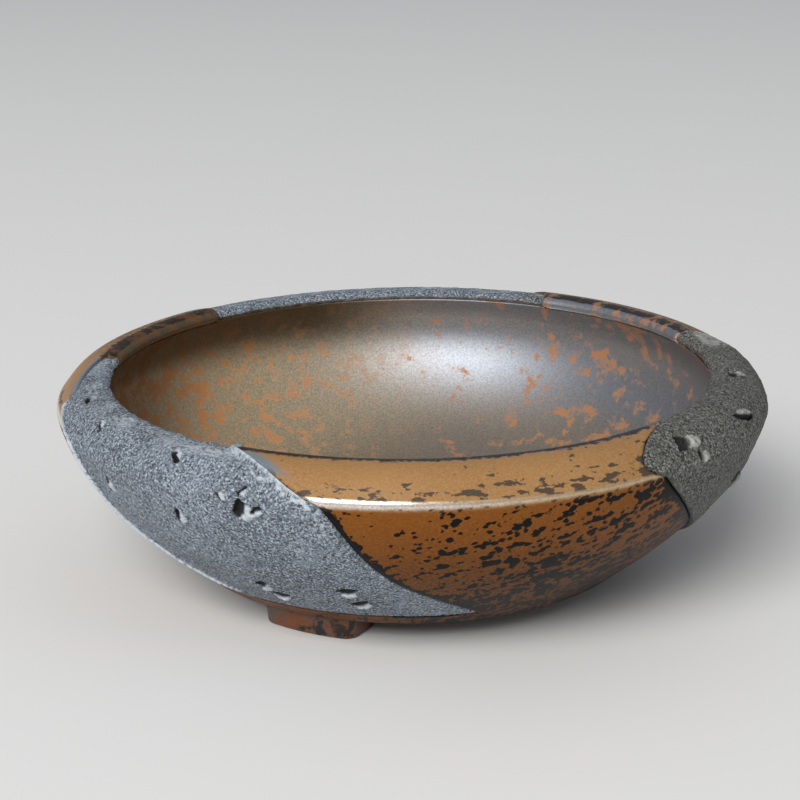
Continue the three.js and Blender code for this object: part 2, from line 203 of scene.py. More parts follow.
def torn_edge(azimuths):
    """A torn edge as a table: reaches and azimuths in degrees, with the waviness of torn clay."""
    slopes = np.diff(azimuths) / np.diff(EDGE_REACHES)
    tangents = np.concatenate([slopes[:1], (slopes[1:] + slopes[:-1]) / 2, slopes[-1:]])
    sweep = []
    for i, reach in enumerate(EDGE_REACHES[:-1]):
        third = (EDGE_REACHES[i + 1] - reach) / 3
        start = Vector((reach, azimuths[i]))
        end = Vector((EDGE_REACHES[i + 1], azimuths[i + 1]))
        leave = start + third * Vector((1, tangents[i]))
        arrive = end - third * Vector((1, tangents[i + 1]))
        sweep += interpolate_bezier(start, leave, arrive, end, CURVE_POINTS)
    reaches, swept = np.array([tuple(p) for p in sweep]).T
    phase = azimuths[0]
    tear = TORN_EDGE * (np.sin(6 * reaches + phase) + 0.5 * np.sin(11 * reaches + 2 * phase))
    fray = [FRAY * noise.fractal(Vector((9 * r, phase, 0)), 1, 2, 3) for r in reaches]
    return reaches, swept + np.degrees((tear + np.array(fray)) / SHOULDER_RADIUS)


edges = {name: (torn_edge(first), torn_edge(last)) for name, (first, last) in SLAB_EDGES.items()}
edge_tables = [table for name in SLAB_EDGES for table in edges[name]]


def bed_line(reach, depth):
    """Radius and level of the bottom of a bed, cut straight across under the lip."""
    radius, level = outside(np.maximum(reach, 0), -depth)
    over = np.clip(reach / WRAP_END, 0, 1)
    inset = depth / 6
    low_radius = wrap_end.x + inset
    low_level = wrap_end.y - inset
    return radius + over * (low_radius - radius), level + over * (low_level - level)


FLOOR_TURN_SLOPES = (0, 266)
FLOOR_TURN_PULLS = (0.029, 0.02)
RINGS_BY_HOLES = np.linspace(0.0432, 0.0488, 10)


def bowl_section():
    """The bowl's closed section: rows of (radius, level, reach). Past 2, the reach runs across the
    underside to 4 at the drain, and inside the bowl it is -2."""
    lip_reaches = np.concatenate([np.linspace(-1, 0, 8), np.linspace(0.06, 0.72, 11)])
    round_reaches = np.concatenate([np.linspace(0.76, 1.05, 15), np.linspace(1.07, 2, 49)])
    reaches = np.concatenate([lip_reaches, round_reaches])
    rows = list(zip(*outside(reaches), reaches))
    corner = Vector((BASE_RADIUS - BASE_CHAMFER, BASE_LEVEL))
    by_drain = np.linspace(DRAIN_RADIUS + 0.001, 0.0425, 6)
    to_turn = np.linspace(0.0515, FLOOR_TURN_RADIUS, 6)
    floor_radii = np.concatenate([by_drain, RINGS_BY_HOLES, to_turn])
    base_radii = np.concatenate([floor_radii, np.linspace(FLOOR_TURN_RADIUS + 0.005, corner.x, 4)])
    for radius in base_radii[::-1]:
        rows.append((radius, BASE_LEVEL, 2 + 2 * (corner.x - radius) / (corner.x - DRAIN_RADIUS)))
    for share in (0.15, 0.5, 0.85):
        rows.append((DRAIN_RADIUS, BASE_LEVEL + share * (FLOOR_LEVEL - BASE_LEVEL), 4))
    rows += [(radius, FLOOR_LEVEL, -2) for radius in floor_radii]
    floor_edge = Vector((FLOOR_TURN_RADIUS, FLOOR_LEVEL))
    turn = bend(floor_edge, WAIST, FLOOR_TURN_SLOPES, FLOOR_TURN_PULLS)
    rows += [(*turn[i], -2) for i in range(4, CURVE_POINTS, 4)]
    rows += [(*p, -2) for p in lip_face[::-1][:-12:12]]
    rows.append((wrap_end.x, wrap_end.y, WRAP_END))
    return rows


def spun_bowl():
    """The section spun into one wedge of the bowl, and that copied all the way round."""
    bowl = bmesh.new()
    reach_layer = bowl.verts.layers.float.new("reach")
    ring = []
    for radius, level, reach in bowl_section():
        vertex = bowl.verts.new((radius, 0, level))
        vertex[reach_layer] = reach
        ring.append(vertex)
    edges = [bowl.edges.new(pair) for pair in zip(ring, ring[1:] + ring[:1])]
    wedge_angle = 2 * math.pi / WEDGES
    bmesh.ops.spin(
        bowl,
        geom=ring + edges,
        cent=(0, 0, 0),
        axis=(0, 0, 1),
        angle=wedge_angle,
        steps=COLUMNS // WEDGES,
    )
    wedge = bowl.verts[:] + bowl.edges[:] + bowl.faces[:]
    for number in range(1, WEDGES):
        copy = bmesh.ops.duplicate(bowl, geom=wedge)["geom"]
        verts = [item for item in copy if isinstance(item, bmesh.types.BMVert)]
        turn = Matrix.Rotation(number * wedge_angle, 3, "Z")
        bmesh.ops.rotate(bowl, verts=verts, cent=(0, 0, 0), matrix=turn)
    bmesh.ops.remove_doubles(bowl, verts=bowl.verts, dist=SEAM)
    bmesh.ops.recalc_face_normals(bowl, faces=bowl.faces)
    return bowl


def finished(shape, name):
    """A bmesh as a smooth object of the scene."""
    mesh = bpy.data.meshes.new(name)
    shape.to_mesh(mesh)
    shape.free()
    mesh.shade_smooth()
    piece = bpy.data.objects.new(name, mesh)
    bpy.context.scene.collection.objects.link(piece)
    return piece


def read(data, field, width=1):
    """Values of a mesh as an array, in rows where each item has more than one."""
    values = np.empty(len(data) * width)
    data.foreach_get(field, values)
    return values.reshape(-1, width) if width > 1 else values


bowl = finished(spun_bowl(), "thrown_bowl")
reach = read(bowl.data.attributes["reach"].data, "value")
place = read(bowl.data.vertices, "co", 3)
azimuth = np.degrees(np.arctan2(place[:, 1], place[:, 0])) % 360
radius = np.hypot(place[:, 0], place[:, 1])
level = place[:, 2]

# Columns of the mesh are led along the torn edges, and crowd together there, so that a bed's rim is
# crisp. Across the underside they swing back, and from there to the inside of the lip they stand straight.
CROWD_WIDTH = 2.7
CROWDING = 2.2
COLUMN_ANGLE = 360 / COLUMNS
swing = np.where(reach > 2, np.clip(8 - 3 * reach, 0, 2), np.clip(reach, 0, 2))
start_angles = np.array([table[1][0] for table in edge_tables])
knots = np.round(start_angles / COLUMN_ANGLE) * COLUMN_ANGLE
led = azimuth.copy()
side_distance = np.full(len(led), 1.0)
for i, knot in enumerate(knots):
    following = (i + 1) % len(knots)
    span = (knots[following] - knot) % 360
    along = (azimuth - knot) % 360
    here = along < span
    along = np.minimum(along, span)
    from_end = np.minimum(along, span - along)
    crowded = np.where(from_end < CROWD_WIDTH, CROWD_WIDTH * (from_end / CROWD_WIDTH) ** CROWDING, from_end)
    share = np.where(along < span / 2, crowded, span - crowded) / span
    from_azimuth = np.interp(swing, *edge_tables[i])
    to_azimuth = np.interp(swing, *edge_tables[following])
    width = (to_azimuth - from_azimuth) % 360
    led = np.where(here, from_azimuth + share * width, led)
    in_bed = i % 2 == 0
    edge_gap = np.radians(np.minimum(share, 1 - share) * width) * radius
    side_distance = np.where(here, -edge_gap if in_bed else edge_gap, side_distance)

# The glaze rolls over into the bed along each torn edge. The thrown wall wavers a little, always inwards.
GLAZE_ROLL = 0.0014
ROLL_DEPTH = 0.0011
BED_EDGE = -0.0001
WAVER = 0.00008
on_outside = (reach >= WRAP_END) & (reach <= SLAB_FOOT)
bedded = on_outside & (side_distance < BED_EDGE)
rolled = on_outside & ~bedded & (side_distance < GLAZE_ROLL)
bed_radius, bed_level = bed_line(reach, BED_DEPTH)
radius = np.where(bedded, bed_radius, radius)
level = np.where(bedded, bed_level, level)
roll = np.where(rolled, 1 - side_distance / GLAZE_ROLL, 0)
roll_depth = ROLL_DEPTH * (1 - np.sqrt(np.clip(1 - roll**2, 0, 1)))
rolled_radius, rolled_level = outside(reach, -roll_depth)
radius = np.where(rolled, rolled_radius, radius)
level = np.where(rolled, rolled_level, level)
angle = np.radians(led)
waver = np.sin(3 * angle + 0.6) + 0.6 * np.sin(7 * angle + 90 * level) + 0.4 * np.sin(13 * angle)
radius = radius - np.where((reach < 2) & ~bedded, WAVER * (2 + waver), 0)
place = np.column_stack([radius * np.cos(angle), radius * np.sin(angle), level])
bowl.data.vertices.foreach_set("co", place.ravel())

# The glazes are laid out on a wrap of the outside, in metres round the pot and down from the lip. Its
# seam is under the left slab.
WRAP_SEAM = 205
WRAP_RADIUS = 0.14
outside_steps = np.hypot(np.diff(outside_radius), np.diff(outside_level))
outside_length = np.concatenate([[0], np.cumsum(outside_steps)])


def keep(mesh, name, values):
    """Stores a value on each vertex, for the materials."""
    mesh.attributes.new(name, "FLOAT", "POINT").data.foreach_set("value", values.astype(np.float32))


keep(bowl.data, "margin", np.where(on_outside, side_distance, 1))
corner_vertex = read(bowl.data.loops, "vertex_index").astype(int)
corner_turn = ((led - WRAP_SEAM) % 360)[corner_vertex].reshape(-1, 4)
crossing = np.ptp(corner_turn, axis=1) > 180
crossing_turn = corner_turn[crossing]
corner_turn[crossing] = np.where(crossing_turn < 180, crossing_turn + 360, crossing_turn)
corner_down = np.interp(reach, outside_reach, outside_length)[corner_vertex]
wrap = np.column_stack([np.radians(corner_turn.ravel()) * WRAP_RADIUS, corner_down])
bowl.data.uv_layers.new(name="wrap").data.foreach_set("uv", wrap.ravel())


def pierce(bowl, azimuths):
    """Cuts the tie-wire holes through the floor of the bowl."""
    shape = bmesh.new()
    shape.from_mesh(bowl.data)
    for azimuth in azimuths:
        centre = Matrix.Rotation(math.radians(azimuth), 2) @ Vector((WIRE_HOLE_CIRCLE, 0))
        cut = {f for f in shape.faces if (f.calc_center_median().xy - centre).length < WIRE_HOLE_RADIUS}
        rim = {e for f in cut for e in f.edges if not cut.issuperset(e.link_faces)}
        for vertex in {v for e in rim for v in e.verts}:
            vertex.co.xy = centre + WIRE_HOLE_RADIUS * (vertex.co.xy - centre).normalized()
        bmesh.ops.delete(shape, geom=list(cut), context="FACES")
        bmesh.ops.bridge_loops(shape, edges=list(rim))
    bmesh.ops.recalc_face_normals(shape, faces=shape.faces)
    for face in shape.faces:
        face.smooth = True
    shape.to_mesh(bowl.data)
    shape.free()


pierce(bowl, WIRE_HOLE_AZIMUTHS)
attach(bowl, "root")
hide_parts("bowl_body")


class Tone:
    """A number or colour on its way through a material, so that its patterns read as sums."""

    def __init__(self, tree, socket=None):
        self.tree = tree
        self.socket = socket

    def node(self, kind, settings, inputs, output=0):
        """Adds a node: its settings first, then its inputs, as values or as other tones."""
        made = self.tree.nodes.new(kind)
        for name, value in settings.items():
            setattr(made, name, value)
        for name, value in inputs.items():
            if isinstance(value, Tone):
                self.tree.links.new(value.socket, made.inputs[name])
            else:
                made.inputs[name].default_value = value
        return Tone(self.tree, None if output is None else made.outputs[output])

    def maths(self, operation, first, second):
        return self.node("ShaderNodeMath", {"operation": operation}, {0: first, 1: second})

    def __add__(self, other):
        return self.maths("ADD", self, other)

    def __sub__(self, other):
        return self.maths("SUBTRACT", self, other)

    def __rsub__(self, other):
        return self.maths("SUBTRACT", other, self)

    def __mul__(self, other):
        return self.maths("MULTIPLY", self, other)

    __radd__ = __add__
    __rmul__ = __mul__

    def rise(self, low, high):
        """0 up to low, 1 from high on and smooth between."""
        limits = {"Value": self, "From Min": low, "From Max": high}
        return self.node("ShaderNodeMapRange", {"interpolation_type": "SMOOTHSTEP"}, limits)

    def between(self, first, second):
        """A colour: the first where this tone is 0, the second where it is 1."""
        return self.node("ShaderNodeMix", {"data_type": "RGBA"}, {0: self, 6: first, 7: second}, 2)

    def kept(self, name):
        """A value stored on the mesh."""
        return self.node("ShaderNodeAttribute", {"attribute_name": name}, {}, 2)

    def grain(self, place, size, detail=2.0, roughness=0.5):
        """Noise with features of that size, in metres, about 0.5."""
        fields = {"Vector": place, "Scale": 1 / size, "Detail": detail, "Roughness": roughness}
        return self.node("ShaderNodeTexNoise", {}, fields)

    def slanted(self, place, degrees, length, width):
        """The wrap, turned and measured in patches of that length and width."""
        turn = (0, 0, math.radians(degrees))
        fields = {"Vector": place, "Rotation": turn, "Scale": (length, width, 1)}
        return self.node("ShaderNodeMapping", {"vector_type": "TEXTURE"}, fields)


def new_material(name):
    """An empty material, and the tone that its nodes are made from."""
    material = bpy.data.materials.new(name)
    material.use_nodes = True
    material.node_tree.nodes.clear()
    return material, Tone(material.node_tree)


def surface(start, inputs, height, distance):
    """Ends a material: the finish, with a height that gives it its fine relief."""
    bump = start.node("ShaderNodeBump", {}, {"Height": height, "Distance": distance})
    finish = start.node("ShaderNodeBsdfPrincipled", {}, {**inputs, "Normal": bump})
    start.node("ShaderNodeOutputMaterial", {}, {"Surface": finish}, None)


def chart(red, green, blue):
    """A colour from a 0 to 255 chart, as the renderer takes it."""
    shares = [value / 255 for value in (red, green, blue)]
    return (*[s / 12.92 if s < 0.04 else ((s + 0.055) / 1.055) ** 2.4 for s in shares], 1)


# Outside, amber glaze breaks to dark iron spots. They run in slanting chains on the wall, along the rim
# on the band, and crowd beside the torn clay. Inside, a bronze lustre shows patches of the amber. Under the
# lip at the left and over the far left wall it is painted dark brown, as painted shade and dark reflection.
BAND_AMBERS = chart(160, 122, 80), chart(142, 102, 62)
WALL_AMBERS = chart(120, 69, 22), chart(78, 43, 14)
BACK_SHADE_BROWN = chart(80, 56, 38)
RIDGE_HIGHLIGHT_COLOURS = chart(240, 236, 232), chart(206, 184, 152)
PALE_GRAINS = chart(172, 136, 92), chart(140, 90, 38)
IRON_BLACKS = chart(80, 68, 58), chart(18, 15, 13)
MARGIN_BLACKS = chart(74, 67, 62), chart(20, 17, 16)
CLAY_WASH = chart(112, 123, 132)
BARE_CLAYS = chart(84, 74, 66), chart(112, 100, 90)
BRONZE_AND_BLUE_SHEEN = chart(162, 150, 136), chart(150, 155, 164)
GOLD_SHEEN_BRONZE = chart(226, 204, 164)
DULL_GRAINS = chart(112, 110, 110)
INNER_AMBERS = chart(172, 114, 64), chart(196, 118, 50)
INNER_SHADE_BROWN = chart(64, 50, 37)
LIP_BROWN = chart(52, 37, 28)
WALL_CHAINS = (-17, 0.0105, 0.0046)
BAND_CHAINS = (3, 0.0062, 0.0034)
SPOT_CELL = 0.0031
WIDEST_SPOT = 0.78
GLAZE_RELIEF = 0.00006

glaze, start = new_material("glazes")
place = start.node("ShaderNodeTexCoord", {}, {}, 3)
wrap_place = start.node("ShaderNodeUVMap", {"uv_map": "wrap"}, {})
reach_tone = start.kept("reach")
margin = start.kept("margin")
side = start.node("ShaderNodeSeparateXYZ", {}, {"Vector": place})
depth_in = start.node("ShaderNodeSeparateXYZ", {}, {"Vector": place}, 1)
depth_up = start.node("ShaderNodeSeparateXYZ", {}, {"Vector": place}, 2)
cloud = start.grain(place, 0.03, 3.0, 0.6)
fine = start.grain(place, 0.0009, 2.0, 0.6)
ragged = start.grain(place, 0.0035, 4.0, 0.65)
coarse_mottle = start.grain(place, 0.008, 5.0, 0.7)

# The iron spots: separate dabs on the wall, smears along the rim on the band.
chain_noise = start.grain(start.slanted(wrap_place, *WALL_CHAINS), 1.0, 4.0, 0.6)
wobble = start.node("ShaderNodeTexNoise", {}, {"Vector": wrap_place, "Scale": 420.0, "Detail": 2.0}, 1)
stirred = {0: 0.0012, 4: wrap_place, 5: wobble}
wobbled = start.node("ShaderNodeMix", {"data_type": "VECTOR"}, stirred, 1)
cells = {"Vector": wobbled, "Scale": 1 / SPOT_CELL, "Randomness": 1.0}
spot_distance = start.node("ShaderNodeTexVoronoi", {"voronoi_dimensions": "2D"}, cells)
crowd = 0.21 * side.rise(-0.09, 0.08) + 0.08 * reach_tone.rise(1.05, 1.9)
crowd = crowd + 0.15 * depth_in.rise(-0.04, 0.04) * (1 - side.rise(-0.08, 0.04))
crowd = crowd + 0.30 * (1 - margin.rise(0.0, 0.007))
spot_size = (chain_noise + crowd + 0.35 * cloud - 0.78) * 3.4
spot_size = start.maths("MINIMUM", spot_size, WIDEST_SPOT)
wall_spots = (spot_size - spot_distance).rise(-0.05, 0.07) * spot_size.rise(0.06, 0.14)

band_noise = start.grain(start.slanted(wrap_place, *BAND_CHAINS), 1.0, 3.0, 0.6)
band_crowd = 0.13 * reach_tone.rise(0.5, 0.78) + 0.04 * side.rise(-0.05, 0.1)
band_spots = (band_noise + band_crowd + 0.12 * (1 - margin.rise(0.0, 0.006))).rise(0.655, 0.70)
on_wall = reach_tone.rise(0.97, 1.03)
margin_dark = (margin + 0.016 * ragged - 0.0028 * on_wall).rise(0.0090, 0.0078)
grey_rim = (1 - (margin + 0.006 * ragged).rise(0.006, 0.014)) * (1 - reach_tone.rise(0.35, 0.65))
grey_rim = grey_rim * (1 - side.rise(-0.04, 0.04))

# The outside, from the amber up to the spots and the dark edges, then the bare underside.
amber = cloud.between(*BAND_AMBERS)
# Painted shade: the band goes brown over the back half of the pot.
behind = depth_in.rise(0.0, 0.05) * (1 - on_wall)
amber = (behind * (1 - ragged.rise(0.52, 0.6))).between(amber, BACK_SHADE_BROWN)
# Painted shade: the wall amber darkens towards the base.
lower_wall_shade = (reach_tone.rise(1.0, 1.7) + 0.4 * cloud).rise(0.1, 1.2)
wall_amber = lower_wall_shade.between(*WALL_AMBERS)
# The shoulder ridge is pale where the glaze thins over it, and whitened further as a painted highlight:
# whitest at the front left, towards the key light, and faint at the back.
ridge = reach_tone - 0.06 * side.rise(-0.04, 0.06)
shoulder = ridge.rise(0.84, 0.90) * (1 - reach_tone.rise(0.98, 1.02)) * (1 - 0.8 * behind)
body = on_wall.between(amber, wall_amber)
ridge_highlight_colour = side.rise(-0.03, 0.07).between(*RIDGE_HIGHLIGHT_COLOURS)
body = (0.9 * shoulder).between(body, ridge_highlight_colour)
body = (0.5 * fine.rise(0.35, 0.7)).between(body, on_wall.between(*PALE_GRAINS))
dark = on_wall * wall_spots + (1 - on_wall) * (1 - shoulder) * band_spots
outside_colour = dark.between(body, on_wall.between(*IRON_BLACKS))
outside_colour = margin_dark.between(outside_colour, on_wall.between(*MARGIN_BLACKS))
outside_colour = grey_rim.between(outside_colour, CLAY_WASH)

bare = reach_tone.rise(2.0, 2.06)
outside_colour = bare.between(outside_colour, fine.between(*BARE_CLAYS))

# The inside, and the lip where the two glazes meet.
patch_noise = start.grain(place, 0.009, 7.0, 0.72)
leftward = 1 - side.rise(-0.09, 0.03)
patch_crowd = 0.09 * side.rise(-0.02, 0.09) - 0.04 * leftward + 0.16 * (cloud - 0.5)
patches = (patch_noise + patch_crowd).rise(0.60, 0.70)
mottles = (coarse_mottle + 0.07 * (1 - side.rise(-0.13, -0.07))).rise(0.51, 0.60)
patches = start.maths("MAXIMUM", patches, leftward * mottles * 0.9)
# The bronze is bluish up the inner wall: a painted tint of the bluish reflection there.
lustre = depth_up.rise(0.03, 0.055).between(*BRONZE_AND_BLUE_SHEEN)
# The lustre is golden over the left, partly the glaze's own tone and partly a painted sheen, lighter where
# the key light's broad reflection spreads.
lustre = leftward.between(lustre, GOLD_SHEEN_BRONZE)
lustre = (0.5 * fine.rise(0.3, 0.7)).between(lustre, DULL_GRAINS)
inside_colour = (0.8 * patches).between(lustre, leftward.between(*INNER_AMBERS))
# Painted shade: the lustre goes dark brown under the lip at the left and over the far left wall.
inner_left_shade = depth_up.rise(0.058, 0.077) * (1 - side.rise(-0.05, 0.01))
inner_left_shade = start.maths("MAXIMUM", inner_left_shade, 0.7 * (1 - side.rise(-0.125, -0.088)))
inside_colour = (0.8 * inner_left_shade).between(inside_colour, INNER_SHADE_BROWN)
over_lip = (reach_tone + 0.3 * ragged).rise(0.16, 0.24)
lip_line = (reach_tone + 0.3 * ragged).rise(-0.42, -0.32) * (1 - over_lip)
inside_colour = (0.85 * lip_line * (1 - 0.7 * patches)).between(inside_colour, LIP_BROWN)
colour = over_lip.between(inside_colour, outside_colour)

metal = (1 - over_lip) * (1 - 0.8 * patches) * 0.85
metal = metal + 0.7 * over_lip * shoulder * (1 - dark)
outer_sheen = 0.34 + 0.06 * on_wall - 0.12 * shoulder + 0.35 * bare
sheen = over_lip * outer_sheen + (1 - over_lip) * (0.50 + 0.04 * patches)
relief = fine * 0.4 + ragged * 0.4 + dark * over_lip * 0.5
finish = {"Base Color": colour, "Metallic": metal, "Roughness": sheen, "Specular IOR Level": 0.1}
surface(start, finish, relief, GLAZE_RELIEF)
bowl.data.materials.append(glaze)


# The clay slabs
# Three slabs of rough grogged clay, rolled out flat, torn along their edges, gouged with a finger and a
# stick, then wrapped over the lip and down the wall, into the beds cut for them. They stay unglazed.
SLAB_DEPTH = 0.0038
SLAB_STANDS = {
    "stone_patch_back": (-0.0013, 0.0),
    "stone_patch_left": (-0.0014, 0.0003),
    "stone_patch_right": (0.0006, 0.002),
}
SHEET_COLUMNS = 75
SHEET_ROWS = 58
FACE_CUTS = 3
EDGE_ROUND = 0.0014
EDGE_DROP = 0.0012
BORDER = 0.002
LEFT_BEADS = [(0.0014, 0.0009, 0.0012), (0.0034, 0.0010, -0.0005), (0.0052, 0.0010, 0.0004)]
LEFT_HIGH_EDGE = 0.0007

# The gouges: azimuth and reach of the pocket, the way that the clay was pushed (0 is towards a larger
# azimuth, 90 is up to the lip), how far it was pushed, in millimetres, and the size of the pocket, where
# 1 is 8 mm wide.
GOUGES = {
    "stone_patch_left": [
        (198.5, 0.32, 77, 4.2, 0.8), (210.6, 0.52, 53, 2.9, 0.8), (231.1, 0.53, 49, 3.0, 1.0),
        (215.7, 1.13, -12, 4.2, 1.0), (231.9, 1.17, -12, 4.1, 1.1), (243.8, 1.05, -24, 6.2, 1.2),
        (246.9, 1.05, -53, 2.2, 0.6), (244.7, 0.86, -33, 2.5, 0.7), (241.4, 1.02, 43, 2.5, 0.6),
        (240.5, 1.63, -46, 4.8, 1.0), (243.6, 1.72, -97, 4.5, 1.0), (258.1, 1.58, -78, 5.0, 1.1),
        (259.3, 1.73, -50, 4.5, 1.2),
    ],
    "stone_patch_right": [
        (349.3, 0.08, -76, 5.5, 0.8), (334.4, 0.76, 72, 3.2, 2.4), (313.9, 0.56, -8, 10.0, 0.9),
        (317.0, 0.88, -14, 4.0, 0.5), (335.0, 1.25, -20, 4.0, 1.1), (344.0, 1.55, -60, 5.0, 1.2),
    ],
    "stone_patch_back": [
        (80.0, 0.60, 60, 4.5, 0.9), (96.0, 1.10, -20, 4.5, 1.1), (118.0, 0.70, 80, 4.0, 1.0),
        (122.0, 1.35, -35, 4.5, 1.2), (139.0, 1.10, -70, 4.0, 0.9), (140.0, 1.70, -60, 5.0, 1.2),
    ],
}
POCKET_DEPTH = 0.0026
POCKET_SCALE = 1.2
MOUND_HEIGHT = 0.0009
THINNEST = 0.0004
KEPT_INSIDE = 0.00002

# For pressed, in millimetres: half the width of a slot and of a mound, the run of the slot's steep back,
# and how far its back bows.
SLOT_HALF = 3.4
MOUND_HALF = 2.7
STEEP_RUN = 0.9
BACK_BOW = 0.06

# The clay's unevenness, from a slow swell down to grit.
SWELL_SIZE, SWELL_HEIGHT = 0.013, 0.0003
LUMP_SIZE, LUMP_HEIGHT = 0.0045, 0.00016
LIP_LUMP_SIZE, LIP_LUMP_HEIGHT = 0.0038, 0.0006
CRUST_SIZE, CRUST_HEIGHT = 0.0024, 0.0005
CRUMB_SIZE, CRUMB_HEIGHT = 0.0016, 0.0003
GRIT_SIZE, GRIT_HEIGHT = 0.0013, 0.00009
TEAR_SIZE, FINE_TEAR_SIZE = 0.0024, 0.0012
CLOUD_SIZE = 0.011
RIGHT_UNEVENNESS = 2.2


def clay_sheet():
    """A closed flat sheet over the unit square: a fine face at level 1 and a coarse back at 0. It is
    inside out, because wrapping it on the bowl turns it over."""
    sheet = bmesh.new()
    bmesh.ops.create_grid(sheet, x_segments=SHEET_COLUMNS, y_segments=SHEET_ROWS, size=0.5)
    bmesh.ops.translate(sheet, verts=sheet.verts, vec=(0.5, 0.5, 0))
    raised = bmesh.ops.extrude_face_region(sheet, geom=sheet.faces)
    top = [item for item in raised["geom"] if isinstance(item, bmesh.types.BMVert)]
    bmesh.ops.translate(sheet, verts=top, vec=(0, 0, 1))
    bmesh.ops.recalc_face_normals(sheet, faces=sheet.faces)
    bmesh.ops.reverse_faces(sheet, faces=sheet.faces)
    face_edges = [e for e in sheet.edges if e.verts[0].co.z + e.verts[1].co.z > 1.5]
    bmesh.ops.subdivide_edges(sheet, edges=face_edges, cuts=FACE_CUTS, use_grid_fill=True)
    return sheet


def bead(distance, centre, width):
    """A soft ridge along an edge: 1 on its crest, at that distance from the edge."""
    return np.exp(-(((distance - centre) / width) ** 2))


def rough(along, down, size, seed):
    """Unevenness with lumps of that size over a sheet, between -1 and 1."""
    places = zip(along / size, down / size)
    return np.array([noise.noise(Vector((x, y, seed))) for x, y in places])


def pressed(gouge, azimuth, down, ragged):
    """A gouge's pocket and mound: a slot that is steep behind and runs up to the mound of pushed clay.
    All lengths here are in millimetres."""
    gouge_azimuth, gouge_reach, push, push_length, size = gouge
    size = POCKET_SCALE * size
    turn = math.radians(push)
    across = np.radians((azimuth - gouge_azimuth + 180) % 360 - 180) * outside(gouge_reach)[0] * 1000
    below = (down - np.interp(gouge_reach, outside_reach, outside_length)) * 1000
    ahead = across * math.cos(turn) - below * math.sin(turn) + 0.8 * ragged
    aside = across * math.sin(turn) + below * math.cos(turn) - 1.1 * ragged
    behind = ahead - BACK_BOW * aside**2 / size + STEEP_RUN
    slot = np.sqrt(np.clip(1 - (aside / (SLOT_HALF * size)) ** 2, 0, 1))
    ramp = np.clip(1 - (behind - STEEP_RUN) / (0.2 + 0.75 * push_length * slot), 0, 1)
    pocket = np.minimum(1.5 * slot, 1) * np.clip(behind / STEEP_RUN, 0, 1) * ramp
    flap_ahead = (ahead - 0.8 * push_length) / (0.42 * push_length + 0.5)
    flap_aside = (aside + 0.6 * ragged) / (MOUND_HALF * size)
    mound = np.clip(1.25 - flap_ahead**2 - flap_aside**2, 0, 1) ** 0.7
    return pocket * min(size, 1.1), mound


def left_edges(reach, from_first, from_last, inland, crumpled):
    """The left slab's torn edges. The low one is rolled, from the middle of the band to the foot. The
    high one is drawn up level over the band, with a crust beside it. Returns how pale the edges are made,
    worn smooth and with a painted highlight, the relief that the edges add, and where the high edge is."""
    low_edge = np.clip((reach - 0.55) / 0.2, 0, 1) * np.clip((1.9 - reach) / 0.1, 0, 1)
    relief = np.zeros(len(reach))
    for centre, bead_width, bead_height in LEFT_BEADS:
        relief += low_edge * bead_height * bead(from_first, centre, bead_width)
    high_edge = np.clip((1.05 - reach) / 0.2, 0, 1) * np.clip(1.5 - from_last / 0.0026, 0, 1)
    wriggles = np.clip(0.35 + 1.6 * crumpled, 0, 1)
    crust = bead(from_last, 0.004, 0.007) * bead(reach, 0.8, 0.4) * wriggles
    relief += inland * CRUST_HEIGHT * crust
    worn_and_highlight = np.maximum(low_edge * bead(from_first, 0.0012, 0.0013), high_edge * 0.6)
    return np.maximum(worn_and_highlight, crust), relief, high_edge


